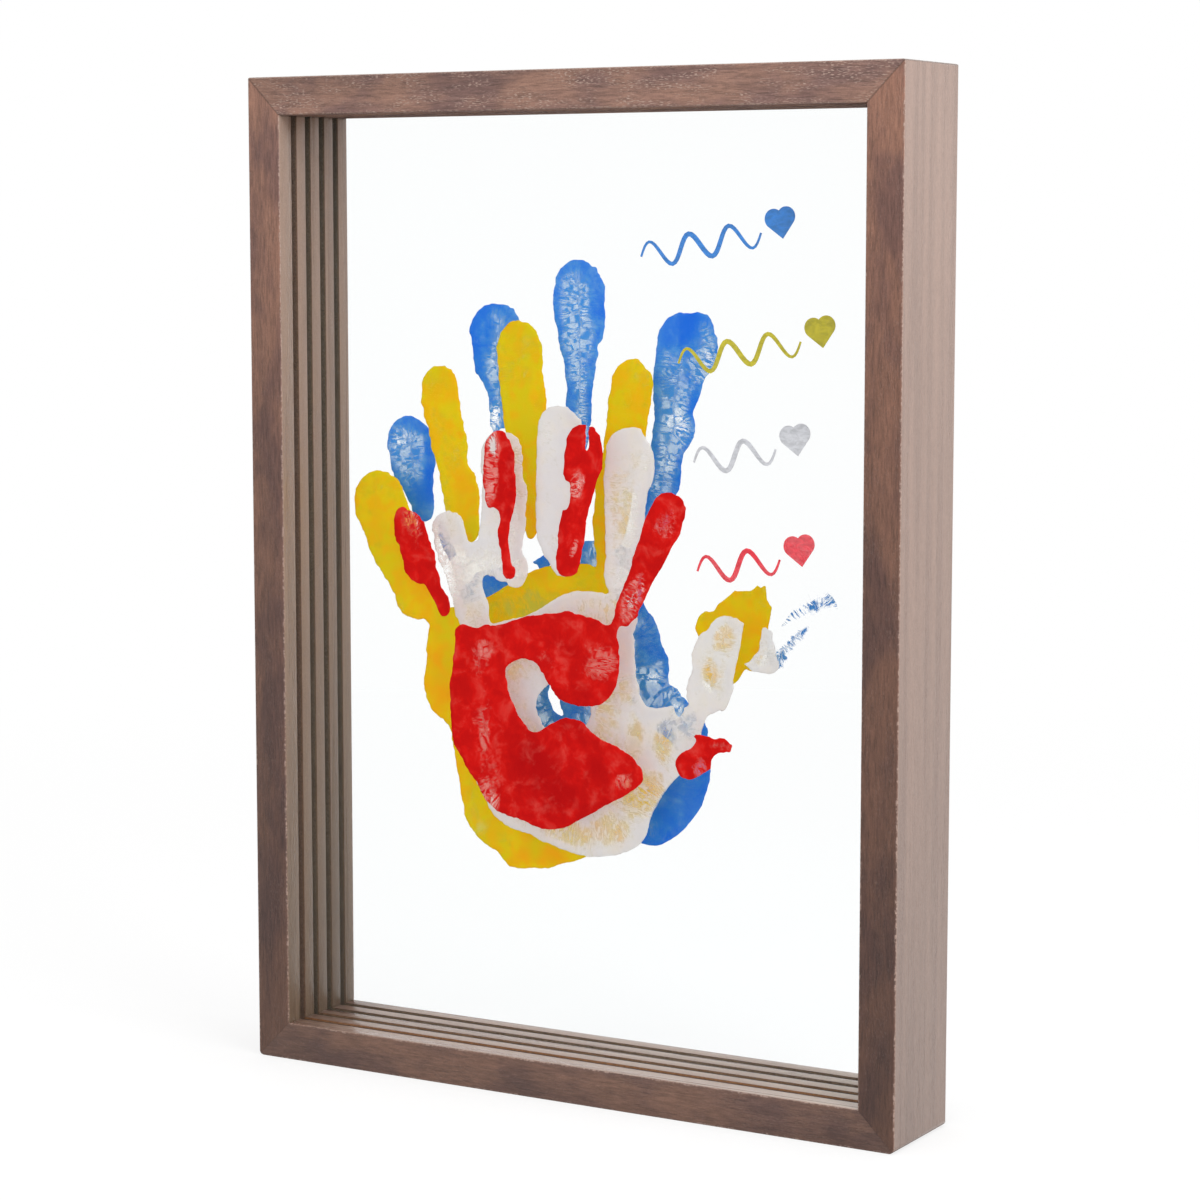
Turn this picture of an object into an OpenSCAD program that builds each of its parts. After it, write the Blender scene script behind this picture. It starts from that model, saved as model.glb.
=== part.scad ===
// Handprint frame: a deep mitred box frame of grooved moulding. Four clear panes slide
// into the grooves from the top, each with one painted handprint and one painted mark.
// The front faces -Y. The origin is under the middle of the frame, on the surface it
// stands on. All sizes are in millimetres.

/* [Panes] */
// Width of each pane
pane_w = 210; // [150:1:300]
// Height of each pane
pane_h = 297; // [240:1:420]
// Thickness of each pane
pane_t = 2; // [1.5:0.1:4]
// Radius of the pane's corners
pane_corner_r = 1.5; // [0.5:0.1:4]
// Gap between the pane's side edge and the groove's floor
side_play = 0.5; // [0.2:0.1:1]
// Gap between the pane's top edge and the groove's floor in the top rail
top_play = 1; // [0.5:0.1:2]
// Gap between the pane's face and the groove's wall
slide_gap = 0.5; // [0.2:0.1:1]

/* [Moulding] */
// Width of the moulding as seen from the front
rail_w = 12; // [11:0.5:24]
// Depth of each groove into the moulding
groove_d = 3; // [2:0.1:4]
// Wood in front of the first groove
front_land = 6.4; // [4:0.1:12]
// Wood between one groove and the next
rib_t = 4.6; // [3:0.1:10]
// Wood behind the last groove
back_land = 4.8; // [3:0.1:12]
// Rounding of the front's outer and inner edges
front_edge_r = 0.5; // [0.2:0.1:1]
// Rounding of the back's outer edge
back_edge_r = 1.5; // [0.5:0.1:2]

/* [Screws] */
// Length of each screw that holds the top rail, head included
screw_len = 25; // [18:1:40]
// Diameter of the screw's shank
screw_d = 3; // [2.5:0.1:3.5]
// Diameter of the screw's countersunk head
screw_head_d = 5.6; // [5:0.1:6.4]
// Length of the screw's pointed tip
screw_tip_len = 4; // [2:0.1:6]
// Diameter of the blunt end of the tip
screw_tip_d = 0.6; // [0.4:0.1:1]
// How far the head lies below the rail's top face
head_sink = 0.3; // [0.1:0.1:0.5]
// Gap all round the screw in its holes
screw_fit = 0.05; // [0.02:0.01:0.1]
// Free depth of the pilot hole past the screw's tip
pilot_spare = 1; // [0.5:0.1:3]
// Length of each arm of the cross cut in the head
cross_len = 3; // [2.4:0.1:3.4]
// Width of each arm of the cross
cross_w = 0.8; // [0.5:0.1:1]
// Depth of the cross
cross_d = 1; // [0.5:0.1:1.2]

/* [Corner nails] */
// Length of each leg of a V-nail
nail_leg = 5; // [3:0.1:6]
// Thickness of the V-nail's sheet steel
nail_t = 0.8; // [0.5:0.1:1]
// Height of a V-nail, along the frame's depth
nail_h = 10; // [6:0.5:12]
// Gap all round a V-nail in its pocket
nail_fit = 0.05; // [0.02:0.01:0.1]
// How far the last V-nail lies below the back face
nail_sink = 0.5; // [0.2:0.1:1]

/* [Paint] */
// Thickness of the dry paint
paint_t = 0.2; // [0.1:0.05:0.3]
// Length of the red handprint, from the heel of the palm to the middle fingertip
red_hand_len = 126; // [100:1:150]
// Length of the white handprint
white_hand_len = 140; // [110:1:170]
// Length of the yellow handprint
yellow_hand_len = 174; // [145:1:195]
// Length of the blue handprint
blue_hand_len = 187; // [155:1:205]
// Width of the brush stroke in each painted mark
stroke_w = 1.6; // [1:0.1:2.4]
// Height of the waves in each painted mark, from the middle line to a crest
wave_h = 4; // [2:0.1:5]
// Width of one wave
wave_len = 14; // [12:0.5:18]
// Side of the heart in each painted mark
heart_side = 6; // [4:0.1:9]
// Gap between the end of the brush stroke and the heart
heart_gap = 4; // [1:0.1:8]

/* [Hidden] */
$fn = 64;

// Each pane's groove, counted from the front
red_slot = 0;
white_slot = 1;
yellow_slot = 2;
blue_slot = 3;
slots = 4;

// The moulding and the frame that the panes call for
groove_w = pane_t + 2 * slide_gap;
groove_pitch = groove_w + rib_t;
depth = front_land + slots * groove_w + (slots - 1) * rib_t + back_land;
web_t = rail_w - groove_d;
outer_w = pane_w + 2 * (side_play + web_t);
outer_h = pane_h + top_play + 2 * web_t;

// One overrun for every cut that runs out of a face
overrun = 1;

// The screws stand in the middle of the web, two at each end of the top rail
screw_x = outer_w / 2 - web_t / 2;
screw_y = depth / 4;
screw_top_z = outer_h - head_sink;
head_h = (screw_head_d - screw_d) / 2;

// The V-nails: each corner holds a stack of two, driven in from the back
nails_per_corner = 2;
nail_inset = (web_t - nail_leg) / 2;
nail_pitch = nail_h + nail_fit;

// Wood and paint colours
wood_colour = [0.47, 0.37, 0.33];
pane_colour = [0.85, 0.93, 0.95, 0.3];
steel_colour = [0.62, 0.62, 0.64];
red_colour = [0.83, 0.09, 0.12];
white_colour = [0.88, 0.87, 0.88];
yellow_colour = [0.91, 0.75, 0.09];
blue_colour = [0.22, 0.49, 0.84];

// Where each handprint's heel lies: across and up from the middle of its pane,
// as shares of the hand's length
red_heel_share = [-0.055, -0.585];
white_heel_share = [0, -0.59];
yellow_heel_share = [-0.08, -0.525];
blue_heel_share = [0, -0.457];

// Fingers as shares of the hand's length, measured from the heel: across and up to the
// tip, across and up to the root, the width of the fingertip and the width of the stem.
// The last value is how far down the finger it narrows, as a share of the finger.
red_finger_shares = [
    [-0.425, 0.76, -0.30, 0.51, 0.085, 0.045, 0.50],
    [-0.15, 0.96, -0.115, 0.61, 0.09, 0.04, 0.52],
    [0.105, 1.00, 0.045, 0.625, 0.10, 0.07, 0.45],
    [0.35, 0.84, 0.20, 0.52, 0.095, 0.065, 0.50],
    [0.50, 0.25, 0.355, 0.175, 0.055, 0.07, 0.50]];
white_finger_shares = [
    [-0.365, 0.75, -0.27, 0.485, 0.09, 0.09, 0.50],
    [-0.205, 0.94, -0.205, 0.62, 0.11, 0.10, 0.55],
    [-0.06, 1.00, -0.045, 0.62, 0.12, 0.09, 0.50],
    [0.12, 0.955, 0.095, 0.58, 0.11, 0.08, 0.55],
    [0.39, 0.555, 0.29, 0.345, 0.11, 0.10, 0.60],
    [0.49, 0.535, 0.455, 0.44, 0.055, 0.05, 0.50]];
yellow_finger_shares = [
    [-0.405, 0.715, -0.285, 0.45, 0.115, 0.085, 0.62],
    [-0.255, 0.915, -0.19, 0.59, 0.08, 0.07, 0.40],
    [-0.08, 1.00, -0.05, 0.62, 0.095, 0.055, 0.60],
    [0.165, 0.935, 0.105, 0.60, 0.085, 0.07, 0.45],
    [0.41, 0.55, 0.31, 0.37, 0.105, 0.095, 0.50]];
blue_finger_shares = [
    [-0.405, 0.73, -0.36, 0.55, 0.095, 0.045, 0.62],
    [-0.225, 0.925, -0.205, 0.715, 0.10, 0.04, 0.60],
    [-0.055, 1.00, -0.05, 0.715, 0.10, 0.045, 0.55],
    [0.155, 0.915, 0.09, 0.555, 0.105, 0.06, 0.38],
    [0.42, 0.465, 0.31, 0.35, 0.07, 0.06, 0.50]];

// Palms as shares of the hand's length, measured from the heel, round the outline
red_palm_shares = [
    [0.03, 0.005], [0.10, 0.04], [0.16, 0.075], [0.215, 0.105], [0.265, 0.15],
    [0.23, 0.20], [0.145, 0.235], [0.09, 0.275], [0.045, 0.28], [0.00, 0.26],
    [-0.05, 0.24], [-0.10, 0.29], [-0.125, 0.345], [-0.125, 0.395], [-0.065, 0.42],
    [-0.02, 0.385], [0.03, 0.325], [0.08, 0.31], [0.14, 0.32], [0.18, 0.355],
    [0.195, 0.42], [0.185, 0.505], [0.12, 0.53], [0.04, 0.54], [-0.09, 0.515],
    [-0.18, 0.49], [-0.265, 0.48], [-0.28, 0.40], [-0.295, 0.30], [-0.28, 0.19],
    [-0.215, 0.10], [-0.165, 0.04], [-0.105, 0.02], [-0.035, 0.00]];
white_palm_shares = [
    [0.04, 0.00], [0.115, 0.02], [0.16, 0.055], [0.185, 0.12], [0.22, 0.175],
    [0.285, 0.245], [0.30, 0.32], [0.26, 0.355], [0.17, 0.345], [0.14, 0.39],
    [0.135, 0.46], [0.12, 0.53], [0.09, 0.58], [0.03, 0.59], [-0.04, 0.585],
    [-0.12, 0.54], [-0.215, 0.51], [-0.31, 0.49], [-0.335, 0.43], [-0.33, 0.31],
    [-0.30, 0.19], [-0.25, 0.095], [-0.195, 0.05], [-0.10, 0.025], [-0.035, 0.005]];
yellow_palm_shares = [
    [0.055, 0.035], [0.14, 0.06], [0.215, 0.105], [0.26, 0.165], [0.27, 0.22],
    [0.23, 0.27], [0.17, 0.30], [0.155, 0.37], [0.14, 0.455], [0.11, 0.54],
    [0.07, 0.57], [0.01, 0.565], [-0.055, 0.55], [-0.125, 0.51], [-0.185, 0.485],
    [-0.24, 0.47], [-0.275, 0.425], [-0.28, 0.30], [-0.24, 0.265], [-0.22, 0.215],
    [-0.21, 0.15], [-0.195, 0.09], [-0.16, 0.045], [-0.12, 0.03], [-0.10, 0.005],
    [-0.025, 0.01]];
blue_palm_shares = [
    [0.03, 0.015], [0.075, 0.045], [0.115, 0.09], [0.155, 0.145], [0.185, 0.195],
    [0.19, 0.235], [0.155, 0.275], [0.12, 0.29], [0.115, 0.345], [0.095, 0.395],
    [0.075, 0.43], [0.06, 0.50], [0.02, 0.535], [-0.045, 0.53], [-0.105, 0.515],
    [-0.16, 0.485], [-0.235, 0.475], [-0.285, 0.445], [-0.305, 0.375], [-0.305, 0.285],
    [-0.29, 0.19], [-0.255, 0.105], [-0.205, 0.045], [-0.12, 0.005], [-0.045, 0.00]];

// The hollow of each palm, where no paint prints, as shares of the hand's length:
// across and up to its middle, half its width and half its height. The red palm's
// hollow is open to one side, and is part of its outline.
white_hollow_shares = [-0.05, 0.325, 0.07, 0.06];
yellow_hollow_shares = [0.01, 0.32, 0.075, 0.07];
blue_hollow_shares = [-0.08, 0.285, 0.035, 0.055];

// Where each painted mark starts: across and up from the heel, as shares of the hand
red_mark_share = [0.41, 0.66];
white_mark_share = [0.28, 0.885];
yellow_mark_share = [0.25, 0.93];
blue_mark_share = [0.065, 1.005];

// Waves in each painted mark, and how steeply it climbs to the right
red_waves = 2;
white_waves = 2;
yellow_waves = 3;
blue_waves = 3;
mark_tilt = 10;

// Points along a finger's side, between two points of a palm, round a palm's hollow
// and along one wave
finger_steps = 14;
palm_steps = 4;
hollow_steps = 24;
wave_steps = 16;
// How long the narrowing of a finger is, as a share of the finger
neck_spread_share = 0.07;
// Width of a stroke's ends as a share of its middle
stroke_end_share = 0.4;

// Distance from the frame's front face to the front face of the pane in a slot
function pane_front(slot) = front_land + slide_gap + slot * groove_pitch;

// One point of a smooth curve between b and c, with a and d beyond them
function curve_point(a, b, c, d, t) =
    (2 * b + (c - a) * t + (2 * a - 5 * b + 4 * c - d) * t * t
    + (3 * b - a - 3 * c + d) * t * t * t) / 2;

// A closed smooth curve through a list of points
function smooth_loop(points) =
    let (n = len(points))
    [for (i = [0 : n - 1]) for (s = [0 : palm_steps - 1])
        curve_point(points[(i + n - 1) % n], points[i], points[(i + 1) % n],
            points[(i + 2) % n], s / palm_steps)];

// A quarter round: from 0 to 1 while a length runs from 0 to a radius
function round_end(run, r) = run < r ? sqrt(1 - pow(1 - run / r, 2)) : 1;

// Half the width of a finger at a share t of its length
function finger_half(t, finger_len, tip_w, stem_w, neck_share) =
    let (tip_part = 1 / (1 + exp((t - neck_share) / neck_spread_share)))
    (stem_w + (tip_w - stem_w) * tip_part) / 2
    * round_end(t * finger_len, tip_w / 2) * round_end((1 - t) * finger_len, stem_w / 2);

// The outline of one finger from its tip to its root
function finger_loop(tip, root, tip_w, stem_w, neck_share) =
    let (along = root - tip, across = [along[1], -along[0]] / norm(along))
    [for (i = [0 : 2 * finger_steps - 1])
        let (t = (1 - cos(180 * i / finger_steps)) / 2, side = i < finger_steps ? 1 : -1)
        tip + along * t
            + across * side * finger_half(t, norm(along), tip_w, stem_w, neck_share)];

// The outline of a palm's hollow
function hollow_loop(middle, half_w, half_h) =
    [for (i = [0 : hollow_steps - 1])
        let (turn = 360 * i / hollow_steps)
        middle + [half_w * cos(turn), half_h * sin(turn)]];

// A point on a mark's wavy middle line, its direction, and half the stroke's width there
function wave_point(t, waves) = [waves * wave_len * t, wave_h * sin(360 * waves * t)];
function wave_across(t, waves) =
    let (rise = 2 * PI * wave_h / wave_len * cos(360 * waves * t)) [-rise, 1] / norm([rise, 1]);
function stroke_half(t) = stroke_w / 2 * (stroke_end_share + (1 - stroke_end_share) * sin(180 * t));

// The outline of a wavy brush stroke: along its upper side and back along its lower side
function stroke_loop(waves) =
    let (n = waves * wave_steps)
    concat(
        [for (i = [0 : n]) wave_point(i / n, waves) + wave_across(i / n, waves) * stroke_half(i / n)],
        [for (i = [n : -1 : 0])
            wave_point(i / n, waves) - wave_across(i / n, waves) * stroke_half(i / n)]);

// What is cut from a square corner to leave a quarter round. The corner is at the origin
// and the round lies towards +X and +Y.
module corner_waste(r) {
    difference() {
        translate([-overrun, -overrun]) square(r + overrun);
        translate([r, r]) circle(r);
    }
}

// The moulding's section: across it from its outer side, and back from its front face
module moulding_section() {
    difference() {
        square([rail_w, depth]);
        for (slot = [0 : slots - 1])
            translate([web_t, front_land + slot * groove_pitch])
                square([groove_d + overrun, groove_w]);
        corner_waste(front_edge_r);
        translate([rail_w, 0]) mirror([1, 0]) corner_waste(front_edge_r);
        translate([0, depth]) mirror([0, 1]) corner_waste(back_edge_r);
    }
}

// A stick of moulding along +Z, with its outer side on X = 0 and its front face on Y = 0
module moulding_stick(stick_len) {
    linear_extrude(stick_len) moulding_section();
}

// A mitred stile at the left of the frame
module plain_stile() {
    intersection() {
        translate([-outer_w / 2, -depth / 2, 0]) moulding_stick(outer_h);
        translate([-outer_w / 2, depth / 2 + overrun, 0]) rotate([90, 0, 0])
            linear_extrude(depth + 2 * overrun)
                polygon([[0, 0], [rail_w, rail_w], [rail_w, outer_h - rail_w], [0, outer_h]]);
    }
}

// A mitred rail along the bottom of the frame
module plain_rail() {
    intersection() {
        translate([-outer_w / 2, -depth / 2, 0]) mirror([1, 0, 0]) rotate([0, -90, 0])
            moulding_stick(outer_w);
        translate([-outer_w / 2, depth / 2 + overrun, 0]) rotate([90, 0, 0])
            linear_extrude(depth + 2 * overrun)
                polygon([[0, 0], [outer_w, 0], [outer_w - rail_w, rail_w], [rail_w, rail_w]]);
    }
}

// Puts its children at each of the four screws, with the head's top at the origin
module at_screws() {
    for (side = [-1, 1]) for (row = [-1, 1])
        translate([side * screw_x, row * screw_y, screw_top_z]) children();
}

// A screw's room in the wood: the shank's hole, the pilot hole and the countersink
module screw_hole() {
    translate([0, 0, -screw_len - pilot_spare])
        cylinder(d = screw_d + 2 * screw_fit, h = screw_len + pilot_spare + head_sink + overrun);
    translate([0, 0, -head_h])
        cylinder(d1 = screw_d + 2 * screw_fit, d2 = screw_head_d + 2 * screw_fit, h = head_h);
    cylinder(d = screw_head_d + 2 * screw_fit, h = head_sink + overrun);
}

// One countersunk screw with a cross in its head
module screw() {
    difference() {
        union() {
            translate([0, 0, -head_h]) cylinder(d1 = screw_d, d2 = screw_head_d, h = head_h);
            translate([0, 0, screw_tip_len - screw_len])
                cylinder(d = screw_d, h = screw_len - screw_tip_len - head_h);
            translate([0, 0, -screw_len]) cylinder(d1 = screw_tip_d, d2 = screw_d, h = screw_tip_len);
        }
        for (turn = [0, 90]) rotate(turn)
            translate([-cross_len / 2, -cross_w / 2, -cross_d])
                cube([cross_len, cross_w, cross_d + overrun]);
    }
}

// A V-nail's outline in the lower left corner, grown all round by a fit. One leg lies in
// the stile and the other in the rail, and the bend lies across the mitre.
module nail_outline(grow) {
    low = nail_inset - grow;
    high = nail_inset + nail_leg + grow;
    bend = high - nail_t - 2 * grow;
    polygon([[high, high], [low, high], [low, bend], [bend, bend], [bend, low], [high, low]]);
}

// Puts its children at both lower corners, mirrored for the right one
module at_lower_corners() {
    for (side = [0, 1]) mirror([side, 0, 0]) translate([-outer_w / 2, 0, 0]) children();
}

// A V-nail's pocket, open at the back
module nail_pocket() {
    pocket_d = nail_sink + nails_per_corner * nail_pitch;
    translate([0, depth / 2 + overrun, 0]) rotate([90, 0, 0])
        linear_extrude(pocket_d + overrun) nail_outline(nail_fit);
}

// The V-nails of one corner, one behind the other
module nail_stack() {
    for (i = [0 : nails_per_corner - 1])
        translate([0, depth / 2 - nail_sink - i * nail_pitch, 0]) rotate([90, 0, 0])
            linear_extrude(nail_h) nail_outline(0);
}

// A pane in its slot, standing on the floor of the bottom groove
module pane(slot) {
    translate([-pane_w / 2, pane_front(slot) + pane_t - depth / 2, web_t]) rotate([90, 0, 0])
        linear_extrude(pane_t) union() {
            translate([pane_corner_r, 0]) square([pane_w - 2 * pane_corner_r, pane_h]);
            translate([0, pane_corner_r]) square([pane_w, pane_h - 2 * pane_corner_r]);
            for (x = [pane_corner_r, pane_w - pane_corner_r])
                for (z = [pane_corner_r, pane_h - pane_corner_r])
                    translate([x, z]) circle(pane_corner_r);
        }
}

// Paint on the front face of a slot's pane. The children are flat, and their origin is put
// at a place across and up from the pane's middle.
module on_pane(slot, place) {
    translate([place[0], pane_front(slot) - depth / 2, web_t + pane_h / 2 + place[1]])
        rotate([90, 0, 0]) linear_extrude(paint_t) children();
}

// A flat handprint with its heel at the origin
module hand(hand_len, finger_shares, palm_shares, hollow_shares = []) {
    difference() {
        polygon(smooth_loop(palm_shares * hand_len));
        if (len(hollow_shares) > 0) {
            hollow = hollow_shares * hand_len;
            polygon(hollow_loop([hollow[0], hollow[1]], hollow[2], hollow[3]));
        }
    }
    for (shares = finger_shares) {
        f = shares * hand_len;
        polygon(finger_loop([f[0], f[1]], [f[2], f[3]], f[4], f[5], shares[6]));
    }
}

// A flat heart with its point at the origin
module heart() {
    rotate(45) {
        square(heart_side);
        translate([heart_side / 2, heart_side]) circle(d = heart_side);
        translate([heart_side, heart_side / 2]) circle(d = heart_side);
    }
}

// A flat mark: a wavy brush stroke that climbs to the right, and a heart after it
module mark(waves) {
    rotate(mark_tilt) {
        polygon(stroke_loop(waves));
        translate([waves * wave_len + heart_gap + heart_side / 2, -heart_side / 2]) heart();
    }
}

module left_stile() {
    color(wood_colour) difference() {
        plain_stile();
        at_screws() screw_hole();
        at_lower_corners() nail_pocket();
    }
}

module right_stile() {
    color(wood_colour) difference() {
        mirror([1, 0, 0]) plain_stile();
        at_screws() screw_hole();
        at_lower_corners() nail_pocket();
    }
}

module bottom_rail() {
    color(wood_colour) difference() {
        plain_rail();
        at_lower_corners() nail_pocket();
    }
}

module top_rail() {
    color(wood_colour) difference() {
        translate([0, 0, outer_h]) mirror([0, 0, 1]) plain_rail();
        at_screws() screw_hole();
    }
}

module red_pane() { color(pane_colour) pane(red_slot); }
module white_pane() { color(pane_colour) pane(white_slot); }
module yellow_pane() { color(pane_colour) pane(yellow_slot); }
module blue_pane() { color(pane_colour) pane(blue_slot); }

module red_print() {
    color(red_colour) on_pane(red_slot, red_heel_share * red_hand_len)
        hand(red_hand_len, red_finger_shares, red_palm_shares);
}

module white_print() {
    color(white_colour) on_pane(white_slot, white_heel_share * white_hand_len)
        hand(white_hand_len, white_finger_shares, white_palm_shares, white_hollow_shares);
}

module yellow_print() {
    color(yellow_colour) on_pane(yellow_slot, yellow_heel_share * yellow_hand_len)
        hand(yellow_hand_len, yellow_finger_shares, yellow_palm_shares, yellow_hollow_shares);
}

module blue_print() {
    color(blue_colour) on_pane(blue_slot, blue_heel_share * blue_hand_len)
        hand(blue_hand_len, blue_finger_shares, blue_palm_shares, blue_hollow_shares);
}

module red_mark() {
    color(red_colour) on_pane(red_slot, (red_heel_share + red_mark_share) * red_hand_len)
        mark(red_waves);
}

module white_mark() {
    color(white_colour) on_pane(white_slot, (white_heel_share + white_mark_share) * white_hand_len)
        mark(white_waves);
}

module yellow_mark() {
    color(yellow_colour) on_pane(yellow_slot, (yellow_heel_share + yellow_mark_share) * yellow_hand_len)
        mark(yellow_waves);
}

module blue_mark() {
    color(blue_colour) on_pane(blue_slot, (blue_heel_share + blue_mark_share) * blue_hand_len)
        mark(blue_waves);
}

module top_screws() { color(steel_colour) at_screws() screw(); }
module corner_nails() { color(steel_colour) at_lower_corners() nail_stack(); }

left_stile();
right_stile();
bottom_rail();
top_rail();
red_pane();
white_pane();
yellow_pane();
blue_pane();
red_print();
white_print();
yellow_print();
blue_print();
red_mark();
white_mark();
yellow_mark();
blue_mark();
top_screws();
corner_nails();
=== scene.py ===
import math
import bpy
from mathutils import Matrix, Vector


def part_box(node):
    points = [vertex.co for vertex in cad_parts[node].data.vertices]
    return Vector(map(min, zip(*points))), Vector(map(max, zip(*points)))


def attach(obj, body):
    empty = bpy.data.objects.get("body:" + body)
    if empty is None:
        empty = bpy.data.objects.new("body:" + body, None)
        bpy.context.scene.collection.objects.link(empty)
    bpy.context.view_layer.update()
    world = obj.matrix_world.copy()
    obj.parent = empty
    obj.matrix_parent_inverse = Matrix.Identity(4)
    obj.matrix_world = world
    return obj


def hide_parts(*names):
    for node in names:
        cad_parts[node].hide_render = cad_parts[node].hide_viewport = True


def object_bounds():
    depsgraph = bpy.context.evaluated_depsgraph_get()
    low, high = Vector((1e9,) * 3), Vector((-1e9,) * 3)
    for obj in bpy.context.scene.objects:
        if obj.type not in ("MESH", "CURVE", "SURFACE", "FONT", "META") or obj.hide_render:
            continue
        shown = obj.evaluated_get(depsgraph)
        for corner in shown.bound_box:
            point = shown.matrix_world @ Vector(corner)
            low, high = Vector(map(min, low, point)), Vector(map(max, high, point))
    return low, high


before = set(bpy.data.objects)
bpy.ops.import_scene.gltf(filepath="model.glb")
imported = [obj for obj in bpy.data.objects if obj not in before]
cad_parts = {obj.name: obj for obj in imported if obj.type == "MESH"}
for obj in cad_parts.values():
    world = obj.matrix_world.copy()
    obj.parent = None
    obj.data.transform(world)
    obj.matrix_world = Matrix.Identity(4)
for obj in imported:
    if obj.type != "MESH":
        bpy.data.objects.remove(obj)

from types import SimpleNamespace

import bpy
import numpy as np
from mathutils import Vector
from mathutils.bvhtree import BVHTree

bl_info = {
    "name": "Handprint Frame",
    "version": (1, 0, 0),
    "blender": (4, 5, 0),
    "location": "View3D > Sidebar > Handprint Frame",
    "description": "Finishes a box frame with four clear panes and four painted handprints",
    "category": "Object",
}

MM = 0.001
COLOURS = ("red", "white", "yellow", "blue")
# The way the grain runs in each piece of moulding, how strongly pale flecks show in it,
# and how its own wood tints the stain
MEMBERS = {
    "left_stile": ("Z", 0.06, (1.04, 1.0, 0.96)),
    "right_stile": ("Z", 0.08, (0.97, 0.89, 0.83)),
    "bottom_rail": ("X", 0.06, (1.22, 1.24, 1.21)),
    "top_rail": ("X", 0.75, (1.02, 1.06, 1.07)),
}
CAD_BOX = [list(corner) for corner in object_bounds()]
OUTER_HALF_W = CAD_BOX[1][0]
OUTER_HALF_D = CAD_BOX[1][1]
OUTER_H = CAD_BOX[1][2]
RAIL_W = OUTER_HALF_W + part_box("left_stile")[1].x
WEB_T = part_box("red_pane")[0].z
# The grooves lie this close to the middle of the frame's depth
GROOVED_HALF_D = 14.5 * MM
# A gap that is too small to see, and the distance within which points are merged
SLIVER = 0.02 * MM
MERGE_DISTANCE = 0.001 * MM
# Faces that turn by less than the first are one plane, edges that turn by more than the
# second are sharp, and edges that turn by less than the third are shaded smooth
PLANE_ANGLE = math.radians(1.0)
SHARP_ANGLE = math.radians(40.0)
SMOOTH_ANGLE = math.radians(35.0)
# How many sides an oval of paint has, and how many films deep a wipe cuts
OVAL_SIDES = 28
WIPE_DEPTH = 3
# The share of the lower corners' wear that the upper corners have
UPPER_WEAR = 0.45
# How many mesh steps thick a handprint's film is while it is shaped
PLATE_STEPS = 3.2
# A face of a handprint is part of its wall if its normal leans to the front less than this
WALL_LEAN = 0.6
# How many times smaller the fine lobes of a rim are, and how many times less they reach
FINE_LOBE_SPLIT = 4
FINE_LOBE_DAMP = 2.6
# How far inside a handprint's rim the raised bead lies, and how far it spreads
BEAD_PLACE = 1.0 * MM
BEAD_WIDTH = 0.9 * MM
# The share of an oval's radius over which its load of paint fades out, and where it ends
LOAD_FADE = 1.3
LOAD_END = 1.6
# How far the pattern of each piece lies from the pattern of the piece before it
WOOD_SHIFT = 0.37
PRINT_SHIFT = 0.41
MARK_SHIFT = 0.29


# Properties


def colour_setting(name, description, default):
    """A colour that the panel shows."""
    return bpy.props.FloatVectorProperty(
        name=name,
        description=description,
        subtype="COLOR",
        size=3,
        min=0.0,
        max=1.0,
        default=default,
    )


def length_setting(name, description, default, least=0.0):
    """A length that the panel shows."""
    return bpy.props.FloatProperty(
        name=name,
        description=description,
        subtype="DISTANCE",
        unit="LENGTH",
        min=least,
        default=default,
    )


def angle_setting(name, description, degrees):
    """An angle that the panel shows."""
    return bpy.props.FloatProperty(
        name=name,
        description=description,
        subtype="ANGLE",
        unit="ROTATION",
        default=math.radians(degrees),
    )


class MouldingSettings(bpy.types.PropertyGroup):
    # Faces that look down take this darker stain too, as painted shade
    face_stain: colour_setting(
        "Face Stain", "Stain on the faces that look forwards and backwards", (0.195, 0.107, 0.092)
    )
    warm_stain: colour_setting(
        "Warm Stain", "Warmer clouds in the stain of those faces", (0.285, 0.153, 0.112)
    )
    # Painted light: the outer sides and the lands between the grooves take a stain paler than the faces,
    # as if lit
    lit_side_stain: colour_setting(
        "Side Stain",
        "Stain on the outer sides and on the lands between the grooves",
        (0.325, 0.228, 0.190),
    )
    # Stain and painted shade: the grooves are painted dark where shade falls in them
    groove_stain_and_shade: colour_setting("Groove Stain", "Stain inside the grooves", (0.13, 0.078, 0.055))
    groove_edge: colour_setting(
        "Groove Edge", "Stain that ran together along the edges of the grooves", (0.30, 0.12, 0.035)
    )
    corner_radius: length_setting(
        "Corner Radius",
        "Radius that wear has given the frame's lower outer corners",
        2.2 * MM,
        0.1 * MM,
    )
    edge_ease: length_setting(
        "Edge Ease", "How far the sharp edges of the moulding are sanded off", 0.45 * MM
    )
    pore_depth: length_setting("Pore Depth", "Depth of the open pores in the grain", 0.12 * MM)


class PaintSettings(bpy.types.PropertyGroup):
    red: colour_setting("Red Paint", "Colour of thick red paint", (0.66, 0.0075, 0.005))
    white: colour_setting("White Paint", "Colour of thick white paint", (0.82, 0.81, 0.81))
    yellow: colour_setting("Yellow Paint", "Colour of thick yellow paint", (0.87, 0.62, 0.002))
    blue: colour_setting("Blue Paint", "Colour of thick blue paint", (0.04, 0.27, 0.82))
    mesh_step: length_setting("Mesh Step", "Size of the faces of a handprint", 0.6 * MM, 0.4 * MM)
    lobe_size: length_setting(
        "Lobe Size", "Size of the lobes along a handprint's rim", 7 * MM, 1 * MM
    )
    lobe_reach: length_setting("Lobe Reach", "How far the lobes move the rim", 1.7 * MM)
    rim_height: length_setting(
        "Rim Height", "Height of the paint that is pressed up along the rim", 0.22 * MM
    )
    pad_height: length_setting(
        "Pad Height", "Height of the paint in the middle of a finger or palm", 0.14 * MM
    )


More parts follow.
